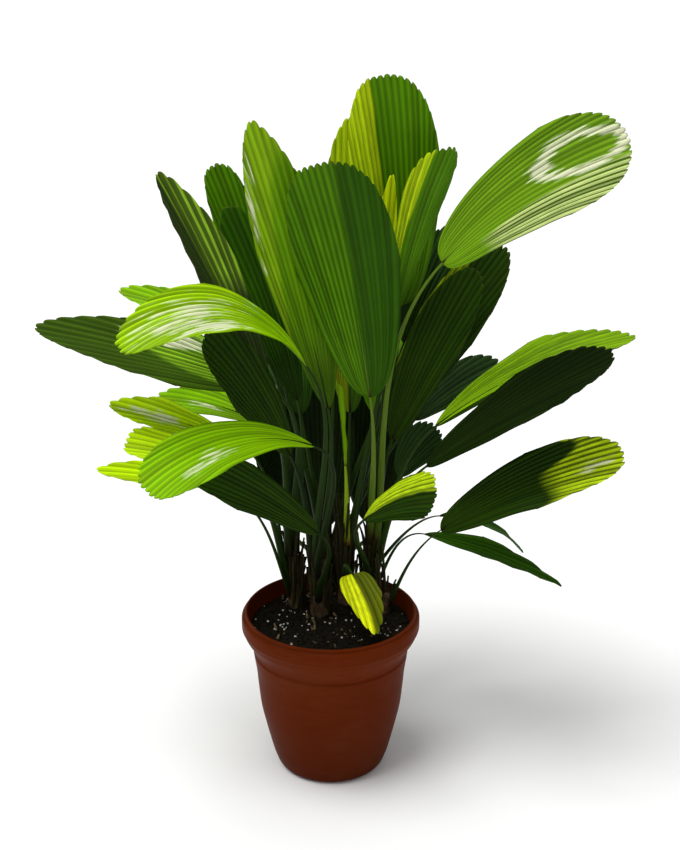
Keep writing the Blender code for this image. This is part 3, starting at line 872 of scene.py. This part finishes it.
# Finishes with a rough grain: dark, light, grains to a metre, stretch, roughness, then how
# strongly and how far the grain stands proud
GRAINS = {
    "fibrous_bark": (
        (0.035, 0.022, 0.012), (0.16, 0.10, 0.055), 60.0, (4, 4, 0.5), 0.95, 0.7, 1.2 * MM,
    ),
    "dry_sheath": (
        (0.007, 0.010, 0.003), (0.045, 0.038, 0.013), 50.0, (5, 5, 0.4), 0.8, 0.6, 0.8 * MM,
    ),
    "potting_soil": (
        (0.003, 0.0028, 0.0018), (0.017, 0.014, 0.009), 180.0, (1, 1, 1), 1.0, 0.8, 1.2 * MM,
    ),
    "white_grit": ((0.42, 0.40, 0.36), (0.85, 0.83, 0.78), 300.0, (1, 1, 1), 0.95, 0.4, 0.4 * MM),
    "bark_chip": ((0.06, 0.035, 0.018), (0.30, 0.22, 0.12), 120.0, (1, 1, 1), 0.95, 0.6, 0.6 * MM),
}
LEAF_BUMP, STALK_BUMP, POT_BUMP = (0.35, 0.4 * MM), (0.3, 0.4 * MM), (0.15, 0.3 * MM)
POT_COLOURS = {"Plastic": (0.105, 0.0145, 0.0010), "Dust": (0.16, 0.055, 0.02)}
SHEEN, POT_SHEEN = 0.06, 0.02


class FinishBoard(Board):
    """A shader node group with named inputs, which gives a colour, a roughness and a relief."""

    def __init__(self, name, inputs):
        super().__init__(bpy.data.node_groups.new(name, "ShaderNodeTree"))
        outputs = {"Colour": "Color", "Roughness": "Float", "Height": "Float"}
        for way, sockets in (("INPUT", inputs), ("OUTPUT", outputs)):
            for label, kind in sockets.items():
                self.tree.interface.new_socket(
                    label, in_out=way, socket_type="NodeSocket" + kind
                )
        self.group_in = self.tree.nodes.new("NodeGroupInput")
        self.group_out = self.tree.nodes.new("NodeGroupOutput")

    def given(self, name):
        return Quantity(self, self.group_in.outputs[name])

    def give(self, **values):
        for name, value in values.items():
            self.feed(self.group_out.inputs[name], value)

    def carried(self, name):
        """A value that the piece's mesh carries by name."""
        return self.node("ShaderNodeAttribute", output="Fac", attribute_name=name)

    def place(self):
        return self.node("ShaderNodeTexCoord", output="Object")

    def mixed(self, factor, one, other):
        return self.node(
            "ShaderNodeMix", {0: factor, 6: one, 7: other}, output=2, data_type="RGBA"
        )

    def toned(self, colour, value, hue=0.5, saturation=1.0):
        feeds = {"Hue": hue, "Saturation": saturation, "Value": value, "Color": colour}
        return self.node("ShaderNodeHueSaturation", feeds)

    def shade(self, colour, where, strength, *tone):
        """The colour, and a shade of it where this factor says."""
        return self.mixed(where * strength, colour, self.toned(colour, *tone))

    def grain(self, scale, detail=2.0, stretch=(1, 1, 1)):
        return self.clouds(self.vector("MULTIPLY", self.place(), stretch), detail, scale)


def rgba(colour):
    return (*colour, 1)


def leaf_group():
    g = FinishBoard(
        "pleated_leaf", {"Young": "Color", "Full": "Color", "Sunlit": "Color", "Stripes": "Float"}
    )
    mapped = g.node("ShaderNodeUVMap", uv_map="UVMap")
    pleat, along = mapped.part(0), mapped.part(1)
    valley = g.valley(pleat)
    fold, ridge = valley**4, (1 - valley) ** 4
    veins = g.number("SINE", pleat * (math.tau * VEINS)) * 0.5 + 0.5
    streak, sun_mottle, glint = (
        g.clouds(g.join(pleat * across, along * down), detail)
        for across, down, detail in (STREAK, SUN_MOTTLE, GLINT)
    )
    blotch = g.grain(BLOTCHES)
    tone = g.node("ShaderNodeTexWhiteNoise", {"W": g.number("FLOOR", pleat)}, noise_dimensions="1D")

    # Its green, younger near the foot
    youth = (streak - YOUTH_START) * YOUTH_EDGE
    youth = g.number("ADD", (1 - along) ** 3 * 0.5, youth, clamp=True)
    colour = g.mixed(youth, g.given("Full"), g.given("Young"))

    # The sun, which catches one flank of a pleat more than the other
    lit = g.carried("sunlit")
    flank = g.number("SINE", pleat * math.tau) * FLANK_SWING + tone * FLANK_TONE
    flank = g.number("ADD", flank, FLANK_LOSS, clamp=True)
    caught = lit * (SUN_LEAST + sun_mottle * SUN_MOTTLE_GAIN) * (1 - g.given("Stripes") * (1 - flank))
    colour = g.mixed(caught, colour, g.given("Sunlit"))
    colour = g.shade(colour, lit * g.given("Stripes") * (1 - flank), *TURNED_AWAY)

    # Each pleat its own tone and blotches, with painted shade in valleys and painted highlights on
    # ridges
    colour = g.toned(colour, TONE_LOW + tone * TONE_RANGE)
    colour = g.shade(colour, blotch - 0.4, *BLOTCHED)
    colour = g.shade(colour, fold, *VALLEY_SHADE)
    colour = g.shade(colour, ridge * (0.25 + streak * 0.6), *RIDGE_HIGHLIGHT)

    # Streaks of glare, with painted shade in the valleys between them
    glare = g.carried("glare")
    glints = glare * 1.3 + (glint - 0.5) * 2.6 - valley * 0.3
    glints = g.number("SUBTRACT", glints, GLINT_START, clamp=True)
    streaks = g.number("MULTIPLY", glints, GLINT_EDGE, clamp=True)
    streaks = streaks * g.number("MULTIPLY", glare, GLARE_EDGE, clamp=True)
    colour = g.mixed(streaks * GLARE_COVER, colour, rgba(GLARE_WHITE))
    colour = g.mixed(streaks * fold, colour, rgba(GLARE_VALLEY_SHADE))

    # Shade from the clump and in the crease, and dry teeth
    colour = g.shade(colour, g.carried("shaded"), *IN_CLUMP)
    colour = g.shade(colour, g.carried("creased"), *CREASED)
    dry = along**DRY_END * g.number("GREATER_THAN", streak, 0.5)
    colour = g.mixed(dry * DRY_COVER, colour, rgba(DRY_EDGE))
    g.give(
        Colour=colour,
        Roughness=0.36 + streak * 0.14 + blotch * 0.06,
        Height=veins * 0.5 + g.grain(LEAF_GRAIN, 1.0) * 0.25 + ridge * 0.5,
    )
    return g.tree


def stalk_group():
    g = FinishBoard("leaf_stalk", {"Sheath": "Color", "Green": "Color"})
    rise = g.carried("rise")
    streak = g.grain(STALK_GRAIN, 3.0, (6, 6, 0.6))
    aged = g.number("SUBTRACT", 1.1 - rise * 9, (streak - 0.5) * 1.4, clamp=True)
    low = g.number("SUBTRACT", 1.0, rise * 2.2, clamp=True)
    colour = g.mixed(aged, g.given("Green"), g.given("Sheath"))
    colour = g.shade(colour, streak - 0.3, *STREAKED_STALK)
    # Painted shade, darker towards the foot of the stalk
    colour = g.shade(colour, low, *LOW_STALK_SHADE)
    g.give(Colour=colour, Roughness=0.4 + aged * 0.4, Height=streak)
    return g.tree


def rough_group():
    """Two colours that run into each other in grains drawn out by a stretch."""
    g = FinishBoard(
        "rough_grain",
        {
            "Dark": "Color",
            "Light": "Color",
            "Scale": "Float",
            "Stretch": "Vector",
            "Dullness": "Float",
        },
    )
    drawn = g.vector("MULTIPLY", g.place(), g.given("Stretch"))
    coarse = g.clouds(drawn, 6.0, g.given("Scale"), 0.65)
    fine = g.clouds(drawn, 2.0, g.given("Scale") * 6)
    factor = g.number("SUBTRACT", coarse * 2.2, 0.6, clamp=True)
    g.give(
        Colour=g.mixed(factor, g.given("Dark"), g.given("Light")),
        Roughness=g.given("Dullness") - coarse * 0.12,
        Height=coarse + fine * 0.3,
    )
    return g.tree


def plastic_group():
    g = FinishBoard("worn_plastic", {"Plastic": "Color", "Dust": "Color"})
    cloud = g.grain(DUST_CLOUDS, 4.0)
    drag = g.grain(DRAG_LINES, 4.0, (1, 1, 5))
    dust = g.number("MULTIPLY", (cloud - 0.48) * 2.2, drag + 0.2, clamp=True)
    # Darker towards the bottom
    darker_low = g.number("SUBTRACT", 1.0, g.place().part(2) * DARKENING_FADE, clamp=True)
    colour = g.shade(g.given("Plastic"), drag - 0.4, *PALE_PLASTIC)
    colour = g.mixed(dust * DUST_COVER, colour, g.given("Dust"))
    colour = g.shade(colour, darker_low, *DARKER_LOW_PLASTIC)
    g.give(
        Colour=colour,
        Roughness=0.38 + dust * 0.3 + drag * 0.1,
        Height=g.grain(PLASTIC_GRAIN, 1.0) * 0.6 + drag * 0.4,
    )
    return g.tree


def finish(name, group, values, bump, sheen=SHEEN):
    """A material that wears a finish group, with the strength and distance of its bump."""
    made = bpy.data.materials.new(name)
    made.use_nodes = True
    nodes, links = made.node_tree.nodes, made.node_tree.links
    shader = nodes["Principled BSDF"]
    worn = nodes.new("ShaderNodeGroup")
    worn.node_tree = group
    for label, value in values.items():
        socket = worn.inputs[label]
        socket.default_value = rgba(value) if socket.type == "RGBA" else value
    relief = nodes.new("ShaderNodeBump")
    relief.inputs["Strength"].default_value, relief.inputs["Distance"].default_value = bump
    links.new(worn.outputs["Height"], relief.inputs["Height"])
    links.new(worn.outputs["Colour"], shader.inputs["Base Color"])
    links.new(worn.outputs["Roughness"], shader.inputs["Roughness"])
    links.new(relief.outputs["Normal"], shader.inputs["Normal"])
    shader.inputs["Specular IOR Level"].default_value = sheen
    return made


def make_looks():
    """The looks of the blades, of the stalks and of everything else."""
    leaf, stalk, rough = leaf_group(), stalk_group(), rough_group()
    leaves, stalks, others = {}, {}, {}
    for look, greens in LEAF_LOOKS.items():
        values = dict(zip(("Young", "Full", "Sunlit", "Stripes"), greens))
        leaves[look] = finish("leaf_" + look, leaf, values, LEAF_BUMP)
    for look, colours in STALK_LOOKS.items():
        values = dict(zip(("Sheath", "Green"), colours))
        stalks[look] = finish("leaf_stalk_" + look, stalk, values, STALK_BUMP)
    for name, (*grain, strength, distance) in GRAINS.items():
        values = dict(zip(("Dark", "Light", "Scale", "Stretch", "Dullness"), grain))
        others[name] = finish(name, rough, values, (strength, distance))
    others["pot"] = finish("pot_plastic", plastic_group(), POT_COLOURS, POT_BUMP, POT_SHEEN)
    return leaves, stalks, others


# The stage and the camera

FLOOR_REACH = 30
FLOOR_COLOUR = (0.98, 0.98, 0.98)
SUN_POWER, SUN_SOFTNESS = 2.5, 40  # softness as the angle in degrees that it fills
SUN_WAY = (0.30, 0.12, -0.95)
SKY_POWER = 0.42
LENS, SENSOR = 72.42, 36  # millimetres
CAMERA_PLACE = (0.016, -2.6, 1.64)
CAMERA_TILT = 68.7  # degrees up from looking straight down


def make_stage():
    scene = bpy.context.scene
    mesh = bpy.data.meshes.new("floor")
    corners = [(x * FLOOR_REACH, y * FLOOR_REACH, 0) for x, y in ((-1, -1), (1, -1), (1, 1), (-1, 1))]
    mesh.from_pydata(corners, [], [(0, 1, 2, 3)])
    floor = placed("floor", mesh)
    pale = bpy.data.materials.new("pale_floor")
    pale.use_nodes = True
    paint = pale.node_tree.nodes["Principled BSDF"].inputs
    paint["Base Color"].default_value = rgba(FLOOR_COLOUR)
    paint["Roughness"].default_value = 0.9
    mesh.materials.append(pale)

    sun = bpy.data.lights.new("key", "SUN")
    sun.energy = SUN_POWER
    sun.angle = math.radians(SUN_SOFTNESS)
    lamp = placed("key", sun)
    lamp.rotation_mode = "QUATERNION"
    lamp.rotation_quaternion = Vector(SUN_WAY).to_track_quat("-Z", "Y")
    world = bpy.data.worlds.new("studio")
    world.use_nodes = True
    sky = world.node_tree.nodes["Background"].inputs
    sky["Color"].default_value = (1, 1, 1, 1)
    sky["Strength"].default_value = SKY_POWER
    scene.world = world
    scene.view_settings.view_transform = "Standard"

    eye = bpy.data.cameras.new("camera")
    eye.lens = LENS
    eye.sensor_width = SENSOR
    eye.sensor_fit = "AUTO"
    camera = placed("camera", eye)
    camera.location = CAMERA_PLACE
    camera.rotation_euler = (math.radians(CAMERA_TILT), 0, 0)
    scene.camera = camera


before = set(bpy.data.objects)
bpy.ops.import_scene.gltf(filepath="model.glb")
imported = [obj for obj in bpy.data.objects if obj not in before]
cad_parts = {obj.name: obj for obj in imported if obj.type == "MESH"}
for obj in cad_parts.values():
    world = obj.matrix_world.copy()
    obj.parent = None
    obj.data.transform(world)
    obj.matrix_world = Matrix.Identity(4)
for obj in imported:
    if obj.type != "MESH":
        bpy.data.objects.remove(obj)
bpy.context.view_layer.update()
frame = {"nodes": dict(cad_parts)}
leaves, stalks, looks = make_looks()
make_fronds(frame["nodes"], leaves, stalks)
make_stems(looks["fibrous_bark"], looks["dry_sheath"])
pot = pot_mesh()
pot.materials.append(looks["pot"])
piece("plant_pot", pot, "pot_plastic", "pot")
make_soil(looks)
make_stage()
